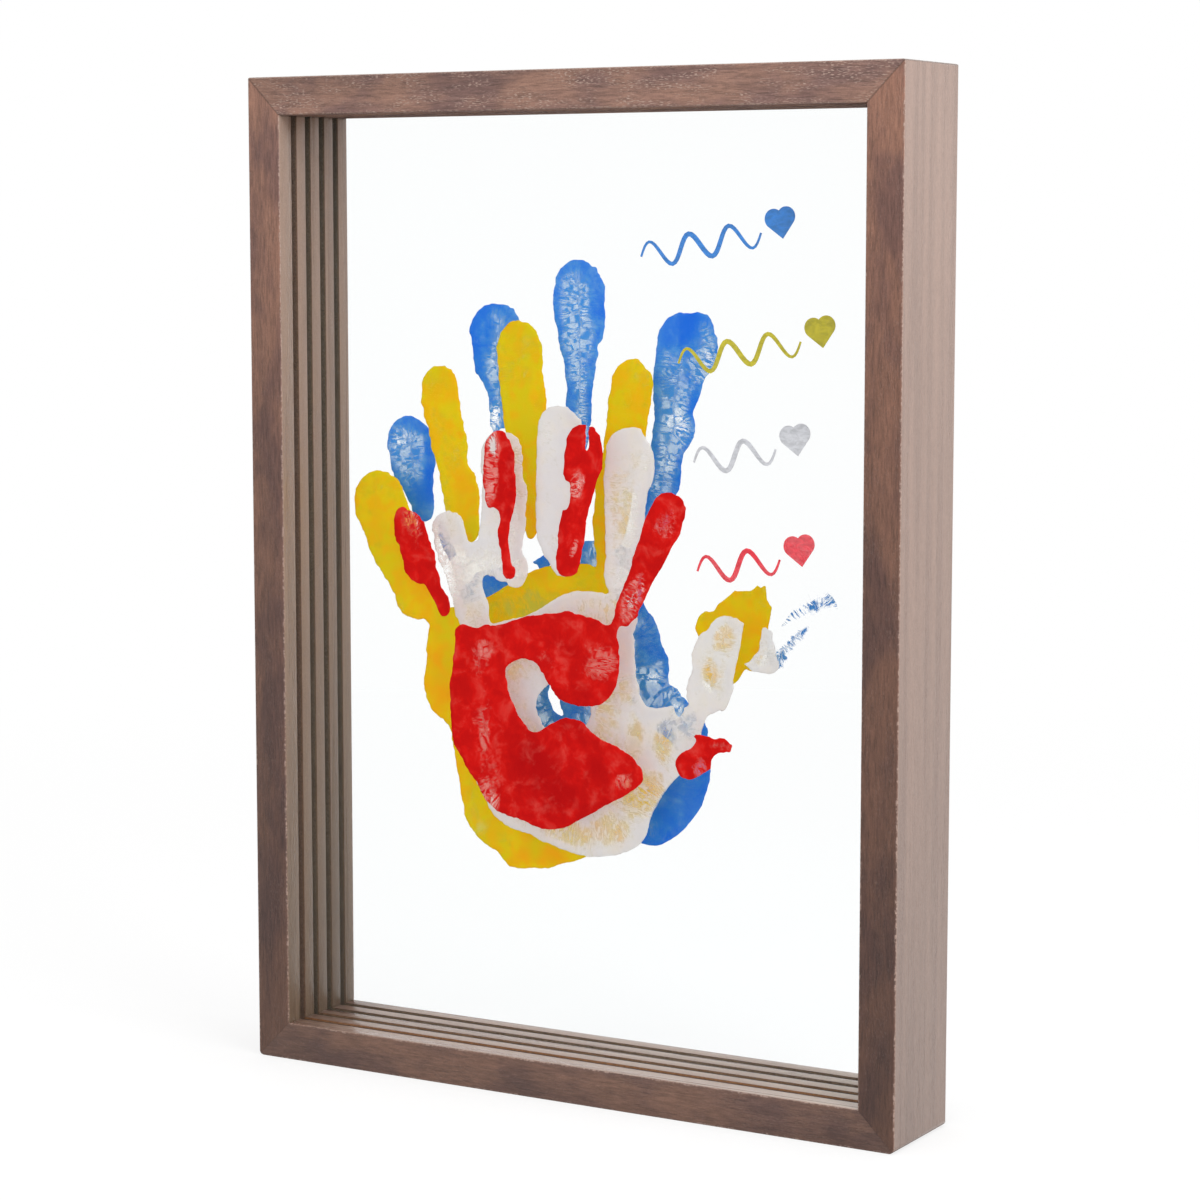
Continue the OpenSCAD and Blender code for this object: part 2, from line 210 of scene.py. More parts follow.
class StageSettings(bpy.types.PropertyGroup):
    camera_place: bpy.props.FloatVectorProperty(
        name="Camera Place",
        description="Where the camera stands",
        subtype="TRANSLATION",
        unit="LENGTH",
        size=3,
        default=(0.50762, -0.85361, 0.26838),
    )
    camera_turn: angle_setting(
        "Camera Turn", "How far the camera stands round to the right", 30.538
    )
    camera_dip: angle_setting("Camera Dip", "How far the camera looks down", 6.539)
    lens: bpy.props.FloatProperty(
        name="Lens",
        description="Focal length of the camera",
        subtype="DISTANCE_CAMERA",
        default=97.07,
    )
    floor_size: length_setting("Floor Size", "Side of the square floor", 8.0)


# Handprints

# Each row is an oval in millimetres, as seen from the front: its middle's place to the
# right of the pane's middle and above the table, its width, its length, and how many
# degrees its top leans to the right. Dabs add paint and wipes take it away.
DABS = {
    "red": (
        (21.5, 160, 3.2, 12, 22), (17.5, 152, 3.0, 14, 18), (24.5, 158, 4.5, 13, 25),
        (-25.5, 195, 11.5, 24, 0), (-25.5, 201, 10, 10, 0), (-26.3, 188, 8.5, 13, 2),
        (-22.5, 169, 3.6, 13, -4), (5.8, 200, 12.3, 19, 0),
        (-57, 170, 10.5, 25, -28), (-55.5, 166, 13, 18, -25), (-38, 142.5, 8, 7, 0), (-30, 143, 7, 7, 0),
        (48, 115.5, 10, 3.4, 12), (54, 114.6, 6, 1.8, -10), (42, 107.5, 7, 7.5, 0),
        (45, 112, 5, 8, 20), (34, 180, 10.5, 14, 20),
    ),
    "white": (
        (-40, 149, 12, 22, -14), (-36, 141, 10, 16, -14), (-28.5, 181, 17, 44, 3),
        (-24, 163, 9, 11, 0), (-9, 188, 15.5, 48, 3), (17.5, 197, 16.5, 21, 0),
        (16.5, 180, 12, 42, -2), (15.8, 158, 7.5, 26, -6), (41, 124, 7, 24, 18),
        (63.8, 144, 4.8, 13, -8), (61.5, 139.4, 8.6, 6, 0), (-34, 170, 7, 20, -4),
        (-41.5, 160, 9, 17, -25), (-38.5, 165, 8, 13, 0), (50.3, 133, 6, 18, 8),
        (42.9, 139.5, 8, 17, 5),
    ),
    "yellow": (
        (-74, 173, 17, 22, -14), (-67.5, 161, 13.5, 24, -24), (-62, 151, 10, 18, -30),
        (-57, 213.5, 13.8, 24, -6), (-55, 203, 12.5, 20, -8), (-48, 184, 11.5, 27, -8),
        (-23, 184, 7.5, 24, 0), (4, 180, 9, 34, 2),
        (5, 166, 6, 12, 0), (-33, 76, 9, 8, 30), (57.5, 149, 9, 28, 14),
        (46, 138, 9, 22, 16), (55.7, 158.4, 7, 4.5, 0), (41.5, 148, 11.5, 11, 20),
    ),
    "blue": (
        (-11, 214, 7.5, 26, 3), (-9.5, 204, 5, 12, 0), (29.3, 232.5, 19.5, 22, 8),
        (27, 223, 14.5, 16, 20), (24.5, 209, 13, 20, 6), (20.8, 193, 12, 15, 6),
        (17, 182, 7, 15, 10), (-41, 208, 3.5, 10, 0),
        (-42, 157, 12, 6, -10), (-12.3, 121, 10, 13, 0), (15, 139, 9, 30, -14), (22, 122, 12, 12, -30),
        (24, 92, 17, 36, 38), (-39.5, 234, 18, 22, 0), (-59.5, 168, 4.4, 15, -22),
    ),
}
WIPES = {
    "red": (
        (6.3, 205.5, 1.5, 11, 6), (9.6, 169, 5.5, 26, 12), (-2.0, 188.5, 5.6, 11, 0),
        (-19.2, 174.5, 4.6, 19, 3), (-27.4, 179, 4.4, 8, 0), (27.5, 150, 7, 10, 20),
        (23.8, 147.2, 6.5, 9, 20), (54.5, 108.6, 10, 9.5, 0),
    ),
    "white": (
        (55.6, 141, 2.4, 28, 10), (58.8, 147.5, 6.5, 17, 14), (69.5, 146, 6.6, 20, -12),
        (34.6, 129.8, 5.4, 18, 6),
    ),
    "yellow": (
        (-36.5, 69, 3, 6, 0), (-53, 157, 4, 9, -10), (27, 86, 15, 50, 30), (38, 161.5, 10, 12, 40),
        (65.5, 149, 9, 40, 6), (42.6, 158, 5, 20, 58), (51.5, 163, 11, 7, 0),
        (63, 158.5, 6, 9, -30),
    ),
    "blue": (
        (-29, 160.5, 10, 6, 0), (-16, 162, 10, 7, 4), (3, 160.5, 10, 7, -6),
        (-54, 160, 10, 10, 0), (-2.3, 232, 2.4, 3, 0), (-19.4, 122.4, 4.6, 5, -10),
    ),
}
# How much paint a hand left in places: each row is an oval as above and its load, which is
# added to the paint there. About 1 is thick and deep, and about -1 is bare.
LOADS = {
    "red": (
        (-28, 196, 5.5, 24, 4, -0.8), (-21.5, 192, 5, 26, 2, 0.4), (2.8, 191, 4.5, 9, 15, -0.95),
        (-27.4, 203, 3, 8, 0, -0.9), (1.6, 171.5, 2.4, 7, 20, -0.9),
        (34, 180, 8, 8, 0, -0.32), (21.8, 156.5, 6, 17, 22, -1.0), (10.5, 138, 13, 13, 0, -0.6),
        (-32, 122, 7, 30, 0, -0.4), (-31, 112, 4, 9, 0, -0.55), (-31, 94, 15, 22, 20, -0.55),
        (19, 101, 7, 6, 0, -0.65), (-27.5, 91, 4, 5, 0, -0.7), (-5, 98, 42, 20, 0, 0.5),
        (-8, 110, 26, 16, 0, 0.5), (0, 142, 30, 8, 0, 0.2), (-30, 139, 12, 6, 0, -0.3),
        (-58, 177, 9, 8, 0, -0.85), (46, 106.5, 5, 8, 0, -1.05), (53, 115, 7, 3, 0, -0.5),
        (8, 125, 18, 10, 0, 0.4), (-8, 138, 6, 6, 0, -0.45),
    ),
    "white": (
        (-50, 163, 4, 22, -15, -0.8), (-44, 155, 9, 26, -15, -0.1), (19, 113, 6, 11, 0, -0.8),
        (29, 113, 6, 12, 10, -0.8), (22, 96, 14, 14, 20, -0.85), (9, 84, 12, 9, 0, -0.7),
        (-6, 82, 16, 7, 0, -0.5), (49.3, 146, 7, 6, 0, -0.7), (44.8, 135, 3.5, 10, 0, -0.7),
        (-24, 190, 9, 30, 0, -0.12), (16, 176, 4, 22, 0, -0.3), (-28, 168, 14, 14, 0, -0.1),
        (36, 118, 14, 8, 0, -0.35), (6, 118, 16, 14, 0, -0.2), (14, 140, 12, 12, 0, 0.3),
        (-9, 195, 12, 34, 0, 0.4), (18, 203, 12, 12, 0, 0.2), (25, 80, 14, 12, 0, 0.3),
        (62, 144, 12, 12, 0, -0.25), (-40, 195, 6, 20, 0, 0.3),
        (-38, 164, 12, 18, 0, -0.1),
    ),
    "yellow": (
        (-20, 152, 44, 9, 0, -0.6), (10, 160, 16, 12, 0, 0.1), (-57, 125, 12, 30, 0, 0.9),
        (-47, 184, 9, 16, 0, 0.6), (-23, 182, 8, 18, 0, 0.9), (4, 178, 8, 26, 0, 1.0),
        (-27, 205, 14, 24, 0, 0.4), (15, 216, 14, 18, 0, -0.2), (-27, 232, 12, 16, 0, -0.15),
        (-76, 184, 14, 14, 0, -0.15), (-68, 160, 12, 20, -20, 0.8), (-20, 72, 24, 7, 0, 0.9),
        (-33, 72, 9, 8, 0, -0.4), (-45, 82, 6, 16, -20, -0.3), (-50, 92, 6, 14, 0, 0.4),
        (56, 148, 10, 26, 20, 0.1), (44, 148, 8, 10, 0, 0.5),
    ),
    "blue": (
        (-10.5, 243, 11, 26, 0, -0.7), (-3.5, 247, 5, 18, 0, 1.1), (-7, 255, 14, 6, 0, 0.7),
        (-11, 222, 7, 18, 0, -0.4), (-12.5, 216, 3, 10, 0, 0.6), (-9.5, 206, 6, 12, 0, -0.8),
        (26, 238, 15, 14, 0, 1.1), (34, 229, 9, 18, 5, -0.75), (25, 208, 10, 20, 8, -0.75),
        (20.5, 190, 9, 14, 8, -0.5), (16, 176, 8, 14, 8, -0.7), (-46, 236, 9, 20, 0, 0.6),
        (-40, 228, 6, 18, 10, -0.5), (-41, 209, 5, 12, 0, -0.8), (-70, 206, 12, 5, 0, 0.7),
        (-77, 196, 14, 20, 0, -0.48), (-69, 184, 7, 12, -20, 0.6), (-66, 193, 4, 12, 0, 0.8),
        (14, 140, 7, 14, -15, 0.4), (18, 126, 10, 12, 0, -0.4), (15, 132, 10, 8, 0, -0.3),
        (22, 117, 14, 5, -20, 0.2), (25, 124, 8, 10, -30, -0.6), (28, 90, 24, 26, 30, 0.9),
        (-42, 157, 12, 6, 0, 0.5), (-24, 165, 6, 6, 0, -0.3), (-4, 168, 9, 10, 0, -0.6),
        (-22, 110, 10, 12, 0, -0.3), (-12, 110, 8, 8, 0, 0.7), (-13, 119, 8, 7, 0, 0.4),
        (68, 148, 44, 36, 40, -1.75), (65.5, 152.3, 4, 30, 65, 0.65),
        (64.5, 143.5, 3.6, 22, 42, 0.75), (73, 155.5, 4, 3, 60, 0.15),
        (57.5, 138.6, 4, 5, 0, 1.2),
    ),
}


# Node helpers


def put(tree, kind, inputs=None, **settings):
    """Adds a node. Each input takes a value or another node's output."""
    node = tree.nodes.new(kind)
    for name, value in settings.items():
        setattr(node, name, value)
    for key, value in (inputs or {}).items():
        if isinstance(value, bpy.types.NodeSocket):
            tree.links.new(value, node.inputs[key])
        else:
            node.inputs[key].default_value = value
    return node


def maths(tree, operation, first, second=0.0):
    """The result of an operation on one or two values."""
    return put(tree, "ShaderNodeMath", {0: first, 1: second}, operation=operation).outputs[0]


def times(tree, first, second):
    """One value multiplied by another."""
    return maths(tree, "MULTIPLY", first, second)


def ease(tree, value, low, high, to_low=0.0, to_high=1.0):
    """Runs a value smoothly from to_low at low to to_high at high."""
    node = put(
        tree,
        "ShaderNodeMapRange",
        {"Value": value, "From Min": low, "From Max": high, "To Min": to_low, "To Max": to_high},
        interpolation_type="SMOOTHSTEP",
    )
    return node.outputs["Result"]


def noise(tree, vector, scale, detail=2.0, roughness=0.5, warp=0.0):
    """A smooth noise from 0 to 1."""
    node = put(
        tree,
        "ShaderNodeTexNoise",
        {
            "Vector": vector,
            "Scale": scale,
            "Detail": detail,
            "Roughness": roughness,
            "Distortion": warp,
        },
    )
    return node.outputs["Fac"]


def blend(tree, share, first, second, mode="MIX"):
    """Mixes two colours."""
    node = put(
        tree, "ShaderNodeMix", {0: share, 6: first, 7: second}, data_type="RGBA", blend_type=mode
    )
    return node.outputs[2]


def mixed_value(tree, share, first, second):
    """Mixes two values."""
    return put(tree, "ShaderNodeMix", {0: share, 2: first, 3: second}, data_type="FLOAT").outputs[0]


def toned(tree, colour, tone):
    """A colour made lighter or darker."""
    return put(tree, "ShaderNodeVectorMath", {0: colour, "Scale": tone}, operation="SCALE").outputs[0]


def object_place(tree):
    """The place of a point on the object, in metres."""
    return put(tree, "ShaderNodeTexCoord").outputs["Object"]


def scaled(tree, vector, scale, location=(0.0, 0.0, 0.0)):
    """A vector multiplied on each axis."""
    node = put(
        tree, "ShaderNodeMapping", {"Vector": vector, "Scale": scale, "Location": location}
    )
    return node.outputs["Vector"]


def axes_of(tree, vector):
    """The X, Y and Z of a vector."""
    return put(tree, "ShaderNodeSeparateXYZ", {0: vector}).outputs


def seen_rays(tree):
    """1 for rays from the camera, a mirror or clear glass, and 0 for rays of light."""
    path = put(tree, "ShaderNodeLightPath").outputs
    seen = maths(tree, "MAXIMUM", path["Is Camera Ray"], path["Is Glossy Ray"])
    return maths(tree, "MAXIMUM", seen, path["Is Transmission Ray"])


def four(colour, share=1.0):
    """A colour, multiplied and with an alpha of 1."""
    return (*[channel * share for channel in colour], 1.0)


def new_material(name):
    """An empty material and its Principled shader."""
    material = bpy.data.materials.new(name)
    material.use_nodes = True
    tree = material.node_tree
    tree.nodes.clear()
    shader = put(tree, "ShaderNodeBsdfPrincipled")
    output = put(tree, "ShaderNodeOutputMaterial", {"Surface": shader.outputs[0]})
    return material, tree, shader, output


def raise_surface(tree, shader, height, distance, strength):
    """Gives a shader's surface fine relief."""
    bump = put(
        tree, "ShaderNodeBump", {"Height": height, "Distance": distance, "Strength": strength}
    )
    tree.links.new(bump.outputs[0], shader.inputs["Normal"])


def mixed_shader(tree, share, first, second):
    """Mixes two shaders."""
    shaders = {0: share, 1: first.outputs[0], 2: second.outputs[0]}
    return put(tree, "ShaderNodeMixShader", shaders).outputs[0]


def finish_with(piece, material):
    """Gives every slot of a piece one material."""
    if not piece.material_slots:
        piece.data.materials.append(material)
    for slot in piece.material_slots:
        slot.material = material


# Materials

WHITE = (1.0, 1.0, 1.0, 1.0)
FLOOR_GREY = (0.5, 0.49, 0.48, 1.0)
CLEAR_ACRYLIC = (0.90, 0.94, 0.95, 1.0)
CUT_ACRYLIC = (0.42, 0.66, 0.66, 1.0)
# What is left of white light that passes a face of a pane
PASSED_LIGHT = (0.998, 0.9995, 0.9995, 1.0)
BRIGHT_ZINC = (0.56, 0.55, 0.53, 1.0)
DULL_ZINC = (0.40, 0.41, 0.44, 1.0)
# The colour of the paint of each mark
MARK_TINTS = {
    "red": (0.80, 0.035, 0.06),
    "white": (0.66, 0.67, 0.71),
    "yellow": (0.60, 0.52, 0.03),
    "blue": (0.05, 0.27, 0.78),
}
# Painted light and shade on the lands between the grooves: a stile's from its shaded foot to its top,
# and a rail's from its shaded left end to its lit right end
STILE_FOOT_LAND_SHADE = (0.74, 0.72, 0.59)
STILE_TOP_LAND_LIGHT = (1.02, 0.98, 0.90)
RAIL_LEFT_END_LAND_SHADE = (0.95, 0.80, 0.72)
RAIL_LEFT_LAND_LIGHT = (1.6, 1.55, 1.5)
RAIL_RIGHT_LAND_LIGHT = (1.72, 1.8, 1.8)
RAIL_RIGHT_END_LAND_LIGHT = (2.1, 2.35, 2.35)
# The stretches of x over which a rail's lands change from one tint to the next, in metres
RAIL_LEFT_END = (-0.104, -0.075)
RAIL_MIDDLE = (-0.10, 0.05)
RAIL_RIGHT_END = (0.05, 0.10)
# The stain and painted shade inside a groove from the frame's middle backwards
BACK_GROOVE_STAIN_AND_SHADE = (0.125, 0.092, 0.064)


def moulding_places(tree, grain_axis):
    """Where a point of the moulding lies, which way it looks, and how far it is from the
    outer side, the inner side, the face and the mitre of its stick."""
    place = object_place(tree)
    x, y, z = axes_of(tree, place)
    normal = axes_of(tree, put(tree, "ShaderNodeNewGeometry").outputs["Normal"])
    half_h = OUTER_H / 2
    from_side = maths(tree, "SUBTRACT", OUTER_HALF_W, maths(tree, "ABSOLUTE", x))
    from_end = maths(
        tree, "SUBTRACT", half_h, maths(tree, "ABSOLUTE", maths(tree, "SUBTRACT", z, half_h))
    )
    into = from_side if grain_axis == "Z" else from_end
    looks_down = ease(tree, normal[2], -0.8, -0.4, 1.0, 0.0)
    on_face = ease(tree, maths(tree, "ABSOLUTE", normal[1]), 0.4, 0.9)
    return SimpleNamespace(
        place=place,
        x=x,
        y=y,
        z=z,
        into=into,
        from_inner=maths(tree, "SUBTRACT", RAIL_W, into),
        from_face=maths(tree, "SUBTRACT", OUTER_HALF_D, maths(tree, "ABSOLUTE", y)),
        from_mitre=maths(tree, "ABSOLUTE", maths(tree, "SUBTRACT", from_side, from_end)),
        looks_down=looks_down,
        # Faces that look down take the darker face stain and its tone, as painted shade
        flat=maths(tree, "MAXIMUM", on_face, looks_down),
    )


def wood_patterns(tree, place, grain_axis, seed):
    """The noises of the wood. Most are drawn out along the grain."""
    along = 2 if grain_axis == "Z" else 0

    def stretched(share):
        scale = [1.0, 1.0, 1.0]
        scale[along] = share
        return scaled(tree, place, scale, (seed, seed * 2, seed * 3))

    return SimpleNamespace(
        clouds=noise(tree, stretched(0.45), 85.0, 3.0, 0.55, 0.3),
        bands=noise(tree, stretched(0.03), 260.0, 2.0, 0.4, 0.2),
        fibres=noise(tree, stretched(0.12), 1700.0, 3.0, 0.7),
        pores=noise(tree, stretched(0.08), 2300.0, 2.0, 0.6),
        flecks=noise(tree, stretched(0.24), 3300.0, 0.0),
        wide_zones=noise(tree, stretched(0.6), 110.0, 1.0),
        narrow_zones=noise(tree, stretched(0.12), 520.0, 1.0),
        dust=noise(tree, place, 1900.0, 1.0, 0.6),
        specks=noise(tree, place, 1100.0, 1.0, 0.6),
    )


def land_light_and_shade(tree, at, grain_axis):
    """The painted light and shade of the lands between the grooves."""
    if grain_axis == "Z":
        return blend(tree, ease(tree, at.z, 0.0, OUTER_H), four(STILE_FOOT_LAND_SHADE), four(STILE_TOP_LAND_LIGHT))
    tint = blend(tree, ease(tree, at.x, *RAIL_MIDDLE), four(RAIL_LEFT_LAND_LIGHT), four(RAIL_RIGHT_LAND_LIGHT))
    tint = blend(tree, ease(tree, at.x, *RAIL_RIGHT_END), tint, four(RAIL_RIGHT_END_LAND_LIGHT))
    return blend(tree, ease(tree, at.x, *RAIL_LEFT_END), four(RAIL_LEFT_END_LAND_SHADE), tint)


def stain_colour(tree, at, wood, grain_axis, tint, settings):
    """The stain on faces, sides and lands, with painted shade that darkens it towards the frame's foot,
    and toned by the grain.
    """
    face_stain = [stain * share for stain, share in zip(settings.face_stain, tint)]
    warm_stain = [stain * share for stain, share in zip(settings.warm_stain, tint)]
    lit_side_stain = settings.lit_side_stain
    face = blend(
        tree, ease(tree, wood.clouds, 0.36, 0.64), four(face_stain, 0.94), four(warm_stain, 1.04)
    )
    # Sides and lands take the paler stain that holds painted light
    side = blend(
        tree, ease(tree, wood.bands, 0.32, 0.68), four(lit_side_stain, 0.95), four(lit_side_stain, 1.05)
    )
    on_land = maths(tree, "GREATER_THAN", at.into, 0.5 * RAIL_W)
    # Painted light and shade: the lands take the side stain times their painted light and shade
    land = blend(tree, 1.0, side, land_light_and_shade(tree, at, grain_axis), "MULTIPLY")
    colour = blend(tree, at.flat, blend(tree, on_land, side, land), face)

    # Painted shade: faces grow darker towards the frame's foot, most at the foot of the stiles, and the
    # sides less so
    height_share = maths(tree, "POWER", maths(tree, "DIVIDE", at.z, OUTER_H), 1.7)
    foot_painted_shade = ease(tree, maths(tree, "ABSOLUTE", at.x), 0.06, 0.11, 0.53, 0.415)
    face_painted_shade = mixed_value(tree, height_share, foot_painted_shade, 1.05)
    side_painted_shade = ease(tree, at.z, -0.1, OUTER_H, 0.67, 1.04)
    face_grain = ease(tree, wood.fibres, 0.25, 0.75, 0.74, 1.22)
    side_grain = ease(tree, wood.fibres, 0.25, 0.75, 0.95, 1.05)
    tone = mixed_value(tree, at.flat, side_painted_shade, face_painted_shade)
    tone = times(tree, tone, mixed_value(tree, at.flat, side_grain, face_grain))
    tone = times(tree, tone, ease(tree, wood.bands, 0.3, 0.7, 0.96, 1.04))
    tone = times(tree, tone, ease(tree, wood.dust, 0.2, 0.8, 0.92, 1.08))
    return toned(tree, colour, tone)


def with_worn_edges(tree, at, wood, colour, settings):
    """The wood's colour with its outer and inner edges worn pale in specks."""
    edge = maths(
        tree,
        "MINIMUM",
        maths(tree, "MAXIMUM", at.into, at.from_face),
        maths(tree, "MAXIMUM", maths(tree, "ABSOLUTE", at.from_inner), at.from_face),
    )
    edge = maths(tree, "ADD", edge, ease(tree, wood.fibres, 0.3, 0.7, -0.1 * MM, 0.5 * MM))
    specks = ease(tree, wood.specks, 0.45, 0.60, 0.1, 0.85)
    worn = times(tree, ease(tree, edge, 0.35 * MM, 0.8 * MM, 1.0, 0.0), specks)
    return blend(tree, worn, colour, four(settings.lit_side_stain, 1.25))


def with_grooves(tree, at, wood, colour, grain_axis, settings):
    """The wood's colour with grooves darkened by stain and painted shade, and stain run together along
    their edges.
    """
    inside = maths(tree, "LESS_THAN", maths(tree, "ABSOLUTE", at.y), GROOVED_HALF_D)
    deep = times(tree, inside, maths(tree, "GREATER_THAN", at.into, WEB_T - 0.2 * MM))
    grooved = times(tree, deep, ease(tree, at.from_inner, 0.04 * MM, 0.1 * MM))
    front_share = 0.15 if grain_axis == "Z" else 0.8
    edge_share = ease(tree, at.y, -12 * MM, 6 * MM, front_share, 0.2)
    edge_share = times(
        tree, ease(tree, at.from_inner, 0.3 * MM, 0.9 * MM, 1.0, 0.0), edge_share
    )
    depth_share = ease(tree, at.y, -12 * MM, 0.0)
    # Stain and painted shade in the grooves, changing from front to back
    groove = blend(tree, depth_share, four(settings.groove_stain_and_shade), four(BACK_GROOVE_STAIN_AND_SHADE))
    groove = blend(tree, edge_share, groove, four(settings.groove_edge))
    return blend(
        tree, grooved, colour, toned(tree, groove, ease(tree, wood.dust, 0.2, 0.8, 0.7, 1.3))
    )


def with_mitres(tree, at, colour):
    """The wood's colour with a dark line where two sticks meet, stronger at the top."""
    line = maths(tree, "SUBTRACT", 1.0, ease(tree, at.from_mitre, 0.1 * MM, 0.6 * MM))
    line = times(tree, line, ease(tree, at.z, 0.0, OUTER_H, 0.22, 0.6))
    return blend(tree, line, colour, toned(tree, colour, 0.35))


def stained_wood(name, grain_axis, fleck_share, tint, settings, seed):
    """Stained wood with open grain along one axis: cloudy on its faces, paler on its outer
    sides as painted light, dark in its grooves as stain and painted shade, darker towards its
    foot as painted shade, and worn pale along its edges."""
    material, tree, shader, _ = new_material(name)
    at = moulding_places(tree, grain_axis)
    wood = wood_patterns(tree, at.place, grain_axis, seed)
    colour = stain_colour(tree, at, wood, grain_axis, tint, settings)

    # Dark pores, and pale flecks that come in patches
    pore = ease(tree, wood.pores, 0.36, 0.43, 1.0, 0.0)
    pore_share = mixed_value(tree, at.flat, 0.03, 0.36)
    colour = blend(
        tree, times(tree, pore, pore_share), colour, toned(tree, colour, 0.45)
    )
    zones = times(
        tree,
        ease(tree, wood.wide_zones, 0.30, 0.55),
        ease(tree, wood.narrow_zones, 0.36, 0.56),
    )
    fleck = times(tree, ease(tree, wood.flecks, 0.55, 0.68), zones)
    fleck = times(tree, fleck, at.flat)
    shown = times(tree, fleck, fleck_share)
    colour = blend(tree, shown, colour, four(settings.lit_side_stain, 1.55))

    colour = with_worn_edges(tree, at, wood, colour, settings)
    colour = with_grooves(tree, at, wood, colour, grain_axis, settings)
    colour = with_mitres(tree, at, colour)
    tree.links.new(colour, shader.inputs["Base Color"])

    shader.inputs["Specular IOR Level"].default_value = 0.35
    face_rough = ease(tree, wood.bands, 0.2, 0.8, 0.40, 0.52)
    side_rough = ease(tree, wood.bands, 0.2, 0.8, 0.24, 0.34)
    rough = mixed_value(tree, at.flat, side_rough, face_rough)
    tree.links.new(mixed_value(tree, at.looks_down, rough, 0.95), shader.inputs["Roughness"])
    height = maths(tree, "SUBTRACT", times(tree, wood.fibres, 0.5), pore)
    height = maths(tree, "ADD", height, times(tree, fleck, 1.2))
    raise_surface(tree, shader, height, settings.pore_depth, 0.6)
    return material


def clear_acrylic():
    """Clear acrylic: almost open through its faces, and paler at its cut edges."""
    material, tree, shader, output = new_material("Clear acrylic")
    shader.inputs["IOR"].default_value = 1.49
    haze = noise(tree, object_place(tree), 40.0, 0.0)
    tree.links.new(ease(tree, haze, 0.2, 0.8, 0.03, 0.08), shader.inputs["Roughness"])
    normal = axes_of(tree, put(tree, "ShaderNodeNewGeometry").outputs["Normal"])
    cut_edge = ease(tree, maths(tree, "ABSOLUTE", normal[1]), 0.3, 0.8, 0.72, 0.0)
    tint = blend(tree, cut_edge, CLEAR_ACRYLIC, CUT_ACRYLIC)
    tree.links.new(tint, shader.inputs["Base Color"])
    facing = put(tree, "ShaderNodeLayerWeight", {"Blend": 0.5}).outputs["Facing"]
    sheen = times(tree, maths(tree, "POWER", facing, 4.0), 0.3)
    share = maths(tree, "MAXIMUM", maths(tree, "ADD", sheen, 0.0015), cut_edge)
    clear = put(tree, "ShaderNodeBsdfTransparent", {"Color": PASSED_LIGHT})
    tree.links.new(mixed_shader(tree, share, clear, shader), output.inputs["Surface"])
    return material


# Each handprint's look: its usual load of paint, how much more lies along its rim, how
# open thin and thick paint are, how open a vein leaves thin paint, how far the edge of
# thin paint runs out, how strong the veins and the washes of another tint are, and tints
PRINT_LOOKS = {
    "red": dict(
        load=0.32, rim=0.1, thin_alpha=0.55, thick_alpha=1.0, vein_gap=0.0, run=0.0,
        vein_share=0.12, wash_share=0.5, wash=(0.76, 0.008, 0.006),
        pale=(0.86, 0.15, 0.12), vein=(0.64, 0.012, 0.012), deep=(0.47, 0.003, 0.004),
    ),
    "white": dict(
        load=0.0, rim=0.25, thin_alpha=0.30, thick_alpha=0.84, vein_gap=0.55, run=0.25,
        vein_share=0.0, wash_share=0.5, wash=(0.83, 0.77, 0.72),
        pale=(0.84, 0.79, 0.66), vein=(0.83, 0.81, 0.77), deep=(0.78, 0.77, 0.78),
    ),
    "yellow": dict(
        load=0.16, rim=0.0, thin_alpha=0.70, thick_alpha=0.995, vein_gap=0.6, run=0.2,
        vein_share=0.1, wash_share=0.75, wash=(0.74, 0.60, 0.003),
        pale=(0.68, 0.62, 0.008), vein=(0.82, 0.60, 0.003), deep=(0.95, 0.40, 0.001),
    ),
    "blue": dict(
        load=-0.16, rim=0.5, thin_alpha=0.48, thick_alpha=0.985, vein_gap=0.0, run=0.3,
        vein_share=0.35, wash_share=0.6, wash=(0.11, 0.38, 0.84),
        pale=(0.26, 0.52, 0.84), vein=(0.07, 0.32, 0.82), deep=(0.012, 0.17, 0.86),
    ),
}


def creases(tree, vector, scale, detail, low, high, warp=0.0):
    """Thin winding lines, 1 along each line and 0 between them."""
    field = noise(tree, vector, scale, detail, 0.55, warp)
    away = maths(tree, "ABSOLUTE", maths(tree, "SUBTRACT", field, 0.5))
    return ease(tree, away, low, high, 1.0, 0.0)


def paint_veins(tree, place, rim, seed):
    """Fine ridges that run in from the rim, with a fainter maze between them."""
    ripple = put(
        tree, "ShaderNodeTexNoise", {"Vector": place, "Scale": 300.0, "Detail": 1.0}
    ).outputs["Color"]
    along_rim = put(
        tree,
        "ShaderNodeVectorMath",
        {
            0: scaled(tree, rim, (1.0, 0.14, 1.0), (seed, 0.0, seed)),
            1: scaled(tree, ripple, (0.5 * MM, 0.5 * MM, 0.5 * MM)),
        },
        operation="ADD",
    ).outputs[0]
    ridges = creases(tree, along_rim, 1500.0, 0.0, 0.02, 0.13)
    maze = creases(tree, place, 1500.0, 0.0, 0.02, 0.12, 0.4)
    return maths(tree, "MAXIMUM", ridges, times(tree, maze, 0.25))


